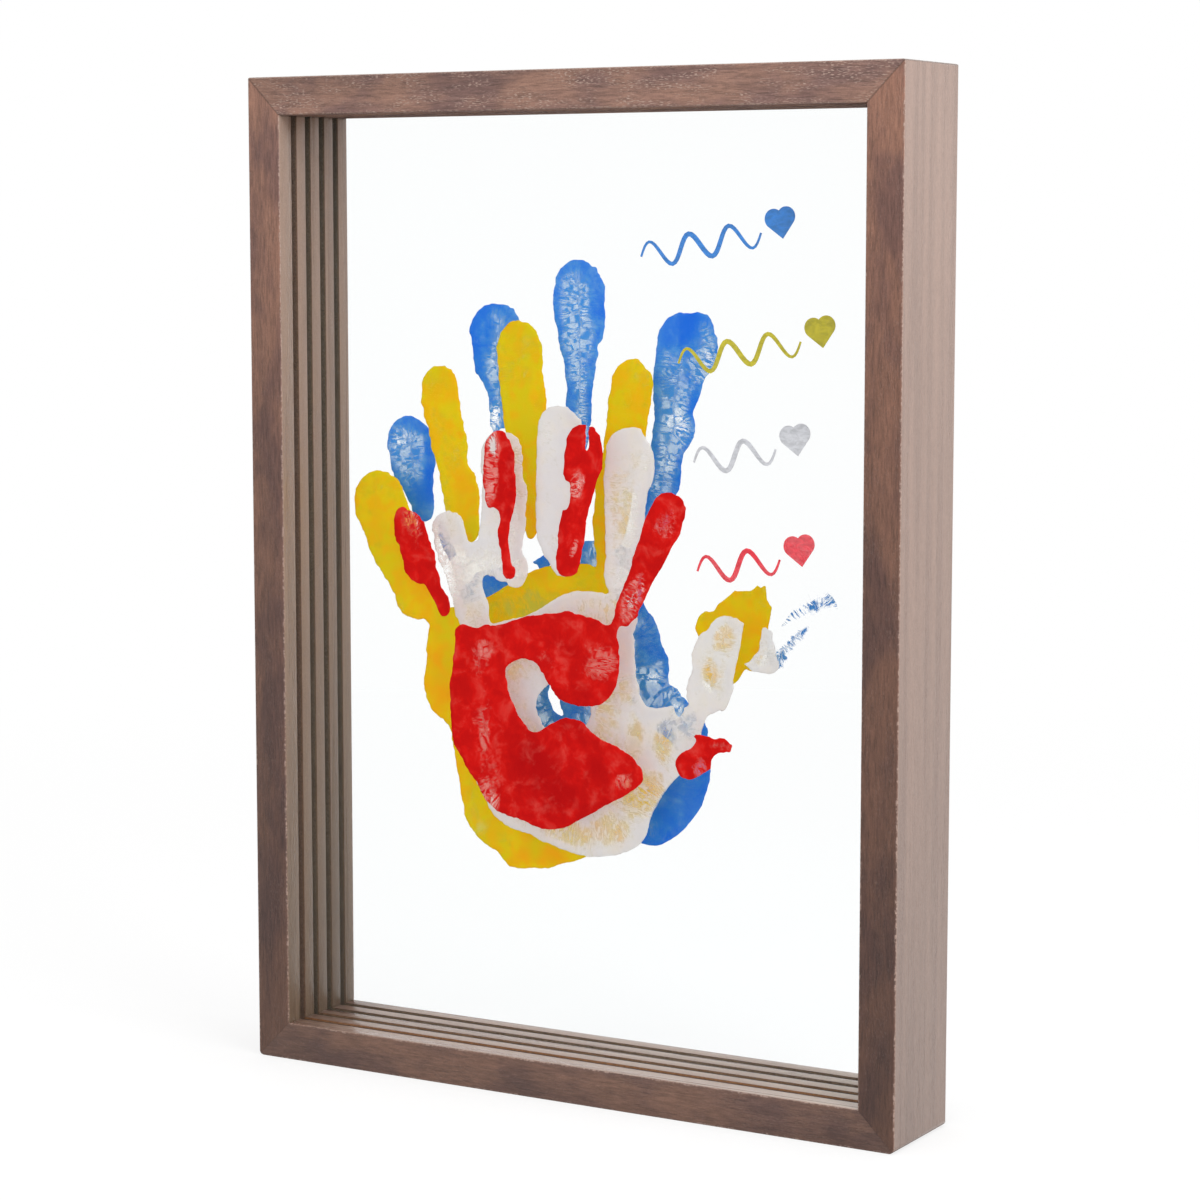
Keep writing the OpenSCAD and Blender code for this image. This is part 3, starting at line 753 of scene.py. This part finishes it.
def dried_paint(colour_name, settings, look, seed):
    """Paint that a hand pressed on: smooth and deep at its rim, thin and veined inside."""
    material, tree, shader, _ = new_material(f"{colour_name.title()} handprint paint")
    place = object_place(tree)
    rim = put(tree, "ShaderNodeAttribute", attribute_name="rim_place").outputs["Vector"]
    load = put(tree, "ShaderNodeAttribute", attribute_name="paint_load").outputs["Fac"]
    depth = axes_of(tree, rim)[1]
    base = four(getattr(settings, colour_name))
    veins = paint_veins(tree, place, rim, seed)

    # The load of paint: the hand's own places, soft patches, and more along the rim
    patches = noise(tree, scaled(tree, place, (1.0, 1.0, 1.0), (seed, 0.0, seed)), 110.0, 3.0, 0.6)
    grain = noise(tree, place, 700.0, 2.0, 0.6)
    total = maths(tree, "ADD", load, look["load"])
    total = maths(tree, "ADD", total, ease(tree, patches, 0.25, 0.75, -0.34, 0.34))
    total = maths(tree, "ADD", total, ease(tree, grain, 0.25, 0.75, -0.12, 0.12))
    held = ease(tree, load, -0.9, -0.3, 0.0, look["rim"])
    near_rim = ease(tree, depth, 0.8 * MM, 3.6 * MM, 1.0, 0.0)
    total = maths(tree, "ADD", total, times(tree, near_rim, held))
    veined = maths(tree, "ADD", total, times(tree, veins, 0.4))

    thin = ease(tree, total, -0.42 - look["run"], 0.1 + look["run"], 1.0, 0.0)
    deep = ease(tree, total, 0.15, 1.25)
    mottle = noise(tree, scaled(tree, place, (1.0, 1.0, 1.0), (seed, 1.0, 0.0)), 170.0, 3.0, 0.6, 0.4)
    colour = blend(tree, deep, base, four(look["deep"]))
    washes = noise(tree, scaled(tree, place, (1.0, 1.0, 0.6), (seed, 2.0, 0.0)), 75.0, 2.0, 0.5)
    wash = ease(tree, washes, 0.42, 0.58, 0.0, look["wash_share"])
    colour = blend(tree, wash, colour, four(look["wash"]))
    colour = blend(tree, ease(tree, mottle, 0.42, 0.62, 0.0, 0.5), colour, four(look["deep"]))
    colour = blend(tree, ease(tree, mottle, 0.25, 0.5, 0.3, 0.0), colour, four(look["pale"]))
    colour = blend(
        tree, times(tree, veins, look["vein_share"]), colour, four(look["deep"])
    )
    thin_colour = blend(tree, veins, four(look["pale"]), four(look["vein"]))
    colour = blend(tree, thin, colour, thin_colour)
    tree.links.new(colour, shader.inputs["Base Color"])

    gaps = times(tree, ease(tree, veins, 0.0, 1.0, 1.0, look["vein_gap"]), thin)
    alpha = ease(tree, gaps, 0.0, 1.0, look["thick_alpha"], look["thin_alpha"])
    alpha = times(tree, alpha, ease(tree, veined, -1.15, -0.6))
    tree.links.new(alpha, shader.inputs["Alpha"])

    tree.links.new(ease(tree, patches, 0.3, 0.7, 0.4, 0.55), shader.inputs["Roughness"])
    shader.inputs["Specular IOR Level"].default_value = 0.05
    height = times(tree, veins, maths(tree, "ADD", thin, 0.2))
    raise_surface(tree, shader, height, 0.1 * MM, 0.4)
    return material


def brushed_paint(colour_name, colour, seed):
    """Paint of a brush stroke, streaked along the stroke and uneven in tone."""
    material, tree, shader, _ = new_material(f"{colour_name.title()} brush paint")
    place = object_place(tree)
    streaks = noise(tree, scaled(tree, place, (1.0, 1.0, 2.0), (seed, 0.0, 0.0)), 420.0, 3.0, 0.6, 0.4)
    clouds = noise(tree, place, 130.0, 2.0)
    tint = blend(tree, ease(tree, streaks, 0.3, 0.7), four(colour, 0.85), four(colour, 1.15))
    tree.links.new(tint, shader.inputs["Base Color"])
    tree.links.new(ease(tree, clouds, 0.3, 0.65, 0.86, 1.0), shader.inputs["Alpha"])
    tree.links.new(ease(tree, clouds, 0.3, 0.7, 0.35, 0.5), shader.inputs["Roughness"])
    raise_surface(tree, shader, streaks, 0.1 * MM, 0.5)
    return material


def zinc_steel():
    """Zinc-plated steel with a fine brushed grain and dull patches."""
    material, tree, shader, _ = new_material("Zinc-plated steel")
    place = object_place(tree)
    brushed = noise(tree, scaled(tree, place, (1.0, 0.08, 1.0)), 6000.0, 2.0, 0.6)
    patches = noise(tree, place, 700.0, 3.0, 0.6)
    tint = blend(tree, ease(tree, patches, 0.35, 0.7), BRIGHT_ZINC, DULL_ZINC)
    tree.links.new(tint, shader.inputs["Base Color"])
    shader.inputs["Metallic"].default_value = 1.0
    tree.links.new(ease(tree, brushed, 0.2, 0.8, 0.28, 0.46), shader.inputs["Roughness"])
    raise_surface(tree, shader, brushed, 0.02 * MM, 0.4)
    return material


# Modelling helpers


def select_only(piece):
    """Makes one piece the active and the only selected object."""
    if bpy.context.object and bpy.context.object.mode != "OBJECT":
        bpy.ops.object.mode_set(mode="OBJECT")
    bpy.ops.object.select_all(action="DESELECT")
    bpy.context.view_layer.objects.active = piece
    piece.select_set(True)


def open_whole(piece):
    """Opens a piece in edit mode with all of it selected."""
    select_only(piece)
    bpy.ops.object.mode_set(mode="EDIT")
    bpy.ops.mesh.select_all(action="SELECT")


def copy_of_node(node_name, piece_name):
    """A new piece that starts as a merged copy of a CAD node."""
    piece = bpy.data.objects.new(piece_name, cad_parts[node_name].data.copy())
    piece.data.name = piece_name
    bpy.context.scene.collection.objects.link(piece)
    open_whole(piece)
    bpy.ops.mesh.remove_doubles(threshold=MERGE_DISTANCE)
    bpy.ops.object.mode_set(mode="OBJECT")
    return piece


def thicken(piece, times, back_y):
    """Stretches a flat piece forwards from its back face."""
    open_whole(piece)
    bpy.ops.transform.resize(value=(1.0, times, 1.0), center_override=(0.0, back_y, 0.0))
    bpy.ops.object.mode_set(mode="OBJECT")


def apply_modifier(piece, kind, **settings):
    """Adds one modifier and applies it."""
    select_only(piece)
    modifier = piece.modifiers.new(kind.title(), kind)
    for name, value in settings.items():
        setattr(modifier, name, value)
    bpy.ops.object.modifier_apply(modifier=modifier.name)


def worn_block(radius):
    """A block as large as the frame, with its outer corners rounded, the lower ones more."""
    bpy.ops.object.select_all(action="DESELECT")
    bpy.ops.mesh.primitive_cube_add(
        size=1.0,
        location=(0.0, 0.0, OUTER_H / 2),
        scale=(2 * (OUTER_HALF_W + SLIVER), 4 * OUTER_HALF_D, OUTER_H + 2 * SLIVER),
    )
    block = bpy.context.object
    bpy.ops.object.transform_apply(location=True, rotation=True, scale=True)
    for upper, share in ((False, 1.0), (True, UPPER_WEAR)):
        bpy.ops.object.mode_set(mode="EDIT")
        bpy.ops.mesh.select_mode(type="EDGE")
        bpy.ops.mesh.select_all(action="DESELECT")
        bpy.ops.object.mode_set(mode="OBJECT")
        points = block.data.vertices
        for edge in block.data.edges:
            first, last = (points[index].co for index in edge.vertices)
            runs_back = abs(first.y - last.y) > OUTER_HALF_D
            edge.select = runs_back and (first.z > OUTER_H / 2) == upper
        bpy.ops.object.mode_set(mode="EDIT")
        bpy.ops.mesh.bevel(offset=radius * share, segments=5, affect="EDGES")
        bpy.ops.object.mode_set(mode="OBJECT")
    return block


def in_mitre(point):
    """Whether a point lies in the plane of a mitre."""
    from_side = OUTER_HALF_W - abs(point.x)
    from_end = OUTER_H / 2 - abs(point.z - OUTER_H / 2)
    return abs(from_side - from_end) < SLIVER


def ease_edges(piece, ease_width):
    """Takes the sharp edges off a piece, except where it meets another in a mitre."""
    select_only(piece)
    bpy.ops.object.mode_set(mode="EDIT")
    bpy.ops.mesh.select_mode(type="EDGE")
    bpy.ops.mesh.select_all(action="SELECT")
    bpy.ops.mesh.dissolve_limited(angle_limit=PLANE_ANGLE)
    bpy.ops.mesh.select_all(action="DESELECT")
    bpy.ops.mesh.edges_select_sharp(sharpness=SHARP_ANGLE)
    bpy.ops.object.mode_set(mode="OBJECT")
    points = piece.data.vertices
    for edge in piece.data.edges:
        if all(in_mitre(points[index].co) for index in edge.vertices):
            edge.select = False
    bpy.ops.object.mode_set(mode="EDIT")
    bpy.ops.mesh.bevel(offset=ease_width, segments=2, affect="EDGES", clamp_overlap=True)
    bpy.ops.object.mode_set(mode="OBJECT")
    bpy.ops.object.shade_smooth_by_angle(angle=SMOOTH_ANGLE)


def wobble(piece, lobe_size, reach):
    """Moves a piece's points about sideways and up and down in soft lobes."""
    lobes = bpy.data.textures.new("Lobes", "CLOUDS")
    lobes.noise_scale = lobe_size
    lobes.noise_depth = 1
    for direction in ("X", "Z"):
        apply_modifier(
            piece,
            "DISPLACE",
            texture=lobes,
            texture_coords="LOCAL",
            direction=direction,
            strength=reach,
            mid_level=0.5,
        )


def add_oval(oval, middle_y, thickness, name):
    """Adds a flat oval that stands upright at its place on a pane."""
    x, z, width, length, lean = oval
    bpy.ops.object.select_all(action="DESELECT")
    bpy.ops.mesh.primitive_cylinder_add(
        vertices=OVAL_SIDES,
        radius=0.5,
        depth=1.0,
        location=(x * MM, middle_y, z * MM),
        rotation=(math.pi / 2, math.radians(lean), 0.0),
        scale=(width * MM, length * MM, thickness),
    )
    oval_piece = bpy.context.object
    oval_piece.name = name
    bpy.ops.object.transform_apply(location=True, rotation=True, scale=True)
    return oval_piece


def dab_on(piece, ovals, middle_y, thickness):
    """Joins ovals of paint to a piece."""
    added = [add_oval(oval, middle_y, thickness, "Dab") for oval in ovals]
    select_only(piece)
    for oval_piece in added:
        oval_piece.select_set(True)
    bpy.ops.object.join()


def wipe_off(piece, ovals, middle_y, thickness):
    """Cuts ovals out of a piece."""
    for oval in ovals:
        cutter = add_oval(oval, middle_y, thickness * WIPE_DEPTH, "Wipe")
        apply_modifier(piece, "BOOLEAN", operation="DIFFERENCE", solver="EXACT", object=cutter)
        select_only(cutter)
        bpy.ops.object.delete()


def load_at(points, spots):
    """The load of paint at each point, from soft-edged ovals."""
    total = np.zeros(len(points))
    for x, z, width, length, lean, load in spots:
        across = points[:, 0] - x * MM
        up = points[:, 2] - z * MM
        turn = math.radians(lean)
        side = (across * math.cos(turn) - up * math.sin(turn)) / (width * MM / 2)
        rise = (across * math.sin(turn) + up * math.cos(turn)) / (length * MM / 2)
        share = np.clip((LOAD_END - np.hypot(side, rise)) / LOAD_FADE, 0.0, 1.0)
        total += load * share * share * (3 - 2 * share)
    return total


def press_paint(piece, wall_faces, back_y, plate, settings, spots):
    """Sets a film's height from its distance to the rim, and keeps each point's nearest
    rim point and distance for the material."""
    mesh = piece.data
    places = [vertex.co for vertex in mesh.vertices]
    stretch = plate / (back_y - min(place.y for place in places))
    points = [Vector((place.x, (place.y - back_y) * stretch, place.z)) for place in places]
    walls = BVHTree.FromPolygons(points, wall_faces)
    kept = []
    for vertex, point in zip(mesh.vertices, points):
        nearest = walls.find_nearest(Vector((point.x, -plate / 2, point.z)))[0]
        depth = (Vector((point.x, point.z)) - Vector((nearest.x, nearest.z))).length
        bead = math.exp(-(((depth - BEAD_PLACE) / BEAD_WIDTH) ** 2))
        height = settings.pad_height + (settings.rim_height - settings.pad_height) * bead
        forward = min(1.0, -point.y / plate)
        vertex.co.y = back_y - forward * height
        kept += (nearest.x, depth, nearest.z)
    rims = mesh.attributes.new("rim_place", "FLOAT_VECTOR", "POINT")
    rims.data.foreach_set("vector", kept)
    pressed = np.empty(len(points) * 3, dtype=np.float32)
    mesh.vertices.foreach_get("co", pressed)
    loads = mesh.attributes.new("paint_load", "FLOAT", "POINT")
    loads.data.foreach_set("value", load_at(pressed.reshape(-1, 3), spots).astype(np.float32))
    mesh.update()


# Operators


class HANDPRINT_OT_moulding(bpy.types.Operator):
    """Ease the edges of the four pieces of moulding and stain them along their grain"""

    bl_idname = "handprint.moulding"
    bl_label = "Ease and Stain Moulding"
    bl_options = {"REGISTER", "UNDO"}

    def execute(self, context):
        settings = context.scene.handprint_moulding
        block = worn_block(settings.corner_radius)
        for seed, (node, (grain_axis, fleck_share, tint)) in enumerate(MEMBERS.items()):
            wood = stained_wood(
                f"Stained wood, {node.replace('_', ' ')}",
                grain_axis,
                fleck_share,
                tint,
                settings,
                seed * WOOD_SHIFT,
            )
            piece = copy_of_node(node, f"{node}_eased")
            apply_modifier(piece, "BOOLEAN", operation="INTERSECT", solver="EXACT", object=block)
            ease_edges(piece, settings.edge_ease)
            finish_with(piece, wood)
            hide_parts(node)
            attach(piece, "top_rail" if node == "top_rail" else "frame")
        select_only(block)
        bpy.ops.object.delete()
        return {"FINISHED"}


class HANDPRINT_OT_panes(bpy.types.Operator):
    """Give the four panes their clear acrylic"""

    bl_idname = "handprint.panes"
    bl_label = "Clear Panes"
    bl_options = {"REGISTER", "UNDO"}

    def execute(self, context):
        acrylic = clear_acrylic()
        for colour in COLOURS:
            finish_with(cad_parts[f"{colour}_pane"], acrylic)
        return {"FINISHED"}


class HANDPRINT_OT_prints(bpy.types.Operator):
    """Press the four handprints: a soft rim, a thin pad and veins that run in from the rim"""

    bl_idname = "handprint.prints"
    bl_label = "Press Handprints"
    bl_options = {"REGISTER", "UNDO"}

    def execute(self, context):
        settings = context.scene.handprint_paint
        for seed, colour in enumerate(COLOURS):
            node = f"{colour}_print"
            low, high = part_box(node)
            film = high.y - low.y
            plate = PLATE_STEPS * settings.mesh_step
            piece = copy_of_node(node, f"{colour}_handprint")
            dab_on(piece, DABS[colour], (low.y + high.y) / 2, film)
            thicken(piece, plate / film, high.y)
            apply_modifier(piece, "REMESH", mode="VOXEL", voxel_size=settings.mesh_step)
            wipe_off(piece, WIPES[colour], high.y - plate / 2, plate)
            apply_modifier(piece, "REMESH", mode="VOXEL", voxel_size=settings.mesh_step)
            wall_faces = [
                tuple(face.vertices)
                for face in piece.data.polygons
                if abs(face.normal.y) < WALL_LEAN
            ]
            thicken(piece, film / plate, high.y)
            wobble(piece, settings.lobe_size, settings.lobe_reach)
            fine_size = settings.lobe_size / FINE_LOBE_SPLIT
            wobble(piece, fine_size, settings.lobe_reach / FINE_LOBE_DAMP)
            press_paint(piece, wall_faces, high.y, plate, settings, LOADS[colour])
            select_only(piece)
            bpy.ops.object.shade_smooth()
            paint = dried_paint(colour, settings, PRINT_LOOKS[colour], seed * PRINT_SHIFT)
            finish_with(piece, paint)
            piece.visible_shadow = False
            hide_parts(node)
            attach(piece, f"{colour}_pane")
        return {"FINISHED"}


class HANDPRINT_OT_marks(bpy.types.Operator):
    """Give the four brush marks their paint"""

    bl_idname = "handprint.marks"
    bl_label = "Paint Marks"
    bl_options = {"REGISTER", "UNDO"}

    def execute(self, context):
        for seed, colour in enumerate(COLOURS):
            paint = brushed_paint(colour, MARK_TINTS[colour], seed * MARK_SHIFT)
            finish_with(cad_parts[f"{colour}_mark"], paint)
        return {"FINISHED"}


class HANDPRINT_OT_fasteners(bpy.types.Operator):
    """Give the screws and the corner nails their zinc plating"""

    bl_idname = "handprint.fasteners"
    bl_label = "Plate Fasteners"
    bl_options = {"REGISTER", "UNDO"}

    def execute(self, context):
        steel = zinc_steel()
        for node in ("top_screws", "corner_nails"):
            finish_with(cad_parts[node], steel)
        return {"FINISHED"}


SENSOR_W = 36.0
FLOOR_SQUARES = 8
# How many clear faces a ray may pass
CLEAR_FACES = 32
# Strength of the light that comes from all round
WORLD_LIGHT = 0.62
# Each lamp's place, the point that it faces, its size and its power
LAMPS = {
    "Key lamp": ((1.7, -0.45, 0.7), (0.0, 0.0, 0.16), 1.4, 24.0),
    "Front lamp": ((0.1, -1.0, 1.0), (0.0, 0.0, 0.26), 1.0, 5.0),
    "Top lamp": ((0.0, 0.1, 2.0), (0.0, 0.0, 0.16), 1.8, 9.0),
}


def set_camera(settings):
    """Puts the camera where the photograph was taken from."""
    scene = bpy.context.scene
    camera = bpy.data.objects.new("Camera", bpy.data.cameras.new("Camera"))
    scene.collection.objects.link(camera)
    camera.data.lens = settings.lens
    camera.data.sensor_width = SENSOR_W
    camera.location = settings.camera_place
    camera.rotation_euler = (math.pi / 2 - settings.camera_dip, 0.0, settings.camera_turn)
    scene.camera = camera


def pale_floor():
    """A floor that is seen as white but for the object's shadow near the middle."""
    material, tree, shader, output = new_material("Pale floor")
    shader.inputs["Roughness"].default_value = 0.8
    shader.inputs["Specular IOR Level"].default_value = 0.1
    seen = seen_rays(tree)
    tree.links.new(blend(tree, seen, FLOOR_GREY, WHITE), shader.inputs["Base Color"])
    away = put(
        tree, "ShaderNodeVectorMath", {0: object_place(tree)}, operation="LENGTH"
    ).outputs["Value"]
    share = times(tree, seen, ease(tree, away, 0.25, 0.9, 0.72, 1.0))
    glow = put(tree, "ShaderNodeEmission", {"Color": WHITE, "Strength": 1.0})
    tree.links.new(mixed_shader(tree, share, shader, glow), output.inputs["Surface"])
    return material


def area_lamp(name, place, aim, size, power):
    """A square soft lamp that faces a point."""
    lamp = bpy.data.lights.new(name, "AREA")
    lamp.shape = "SQUARE"
    lamp.size = size
    lamp.energy = power
    holder = bpy.data.objects.new(name, lamp)
    bpy.context.scene.collection.objects.link(holder)
    holder.location = place
    holder.rotation_euler = (Vector(aim) - Vector(place)).to_track_quat("-Z", "Y").to_euler()


def white_surroundings():
    """A soft light from all round that is itself seen as white."""
    world = bpy.data.worlds.new("White surroundings")
    world.use_nodes = True
    tree = world.node_tree
    tree.nodes.clear()
    light = put(tree, "ShaderNodeBackground", {"Color": WHITE, "Strength": WORLD_LIGHT})
    white = put(tree, "ShaderNodeBackground", {"Color": WHITE, "Strength": 1.0})
    both = mixed_shader(tree, seen_rays(tree), light, white)
    put(tree, "ShaderNodeOutputWorld", {"Surface": both})
    return world


class HANDPRINT_OT_stage(bpy.types.Operator):
    """Set the camera, the pale floor, the soft lamps and the white background"""

    bl_idname = "handprint.stage"
    bl_label = "Set Stage"
    bl_options = {"REGISTER", "UNDO"}

    def execute(self, context):
        scene = context.scene
        settings = scene.handprint_stage
        set_camera(settings)
        bpy.ops.object.select_all(action="DESELECT")
        bpy.ops.mesh.primitive_grid_add(
            x_subdivisions=FLOOR_SQUARES,
            y_subdivisions=FLOOR_SQUARES,
            size=settings.floor_size,
            location=(0.0, 0.0, 0.0),
        )
        floor = context.object
        floor.name = "Floor"
        finish_with(floor, pale_floor())
        for name, lamp in LAMPS.items():
            area_lamp(name, *lamp)
        scene.world = white_surroundings()
        scene.view_settings.view_transform = "Standard"
        scene.cycles.transparent_max_bounces = CLEAR_FACES
        return {"FINISHED"}


# Panel and registration


class HANDPRINT_PT_panel(bpy.types.Panel):
    """Lists the sizes and colours of the handprint frame, and its steps"""

    bl_idname = "HANDPRINT_PT_panel"
    bl_label = "Handprint Frame"
    bl_space_type = "VIEW_3D"
    bl_region_type = "UI"
    bl_category = "Handprint Frame"

    def draw(self, context):
        for name, settings_class in SETTINGS.items():
            box = self.layout.box()
            for key in settings_class.__annotations__:
                box.prop(getattr(context.scene, name), key)
        for operator in OPERATORS:
            self.layout.operator(operator.bl_idname)


SETTINGS = {
    "handprint_moulding": MouldingSettings,
    "handprint_paint": PaintSettings,
    "handprint_stage": StageSettings,
}
OPERATORS = (
    HANDPRINT_OT_stage,
    HANDPRINT_OT_moulding,
    HANDPRINT_OT_panes,
    HANDPRINT_OT_prints,
    HANDPRINT_OT_marks,
    HANDPRINT_OT_fasteners,
)
CLASSES = (*SETTINGS.values(), *OPERATORS, HANDPRINT_PT_panel)


def register():
    for new_class in CLASSES:
        bpy.utils.register_class(new_class)
    for name, settings_class in SETTINGS.items():
        setattr(bpy.types.Scene, name, bpy.props.PointerProperty(type=settings_class))


def unregister():
    for name in SETTINGS:
        delattr(bpy.types.Scene, name)
    for new_class in reversed(CLASSES):
        bpy.utils.unregister_class(new_class)


def main():
    register()
    bpy.ops.handprint.stage()
    bpy.ops.handprint.moulding()
    bpy.ops.handprint.panes()
    bpy.ops.handprint.prints()
    bpy.ops.handprint.marks()
    bpy.ops.handprint.fasteners()


if __name__ == "__main__":
    main()
